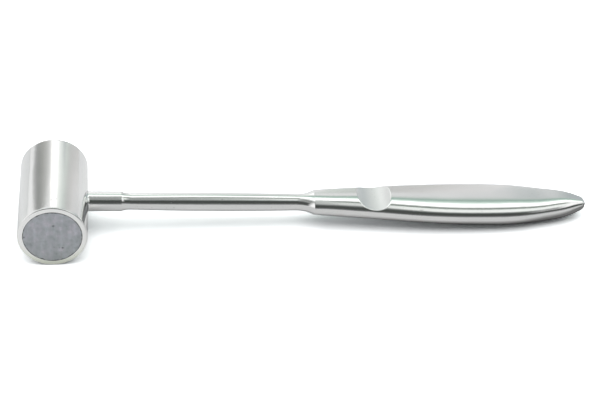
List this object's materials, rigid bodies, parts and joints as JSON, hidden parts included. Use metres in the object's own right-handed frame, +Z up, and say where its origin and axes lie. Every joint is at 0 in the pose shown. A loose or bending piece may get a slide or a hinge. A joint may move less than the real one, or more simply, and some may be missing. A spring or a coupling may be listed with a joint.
{
  "type": "surgical mallet",
  "caption": "Bone mallet with a lead-filled steel tube head set across a slim collared shank and a flattened leaf-shaped grip with a thumb scoop.",
  "frame": {"origin": "on the table under the middle of the lying mallet's bounding box", "axes": "+X from the head to the grip's tip, +Y along the head's axis, +Z up from the table"},
  "size_m": [0.2201, 0.046, 0.026],
  "materials": {
    "steel": "satin, finely brushed and softly polished over",
    "lead": "matt blue-grey, faintly mottled, with small dents"
  },
  "bodies": {
    "root": {"head_sleeve": "steel", "lead_core": "lead", "handle": "steel"}
  },
  "joints": []
}
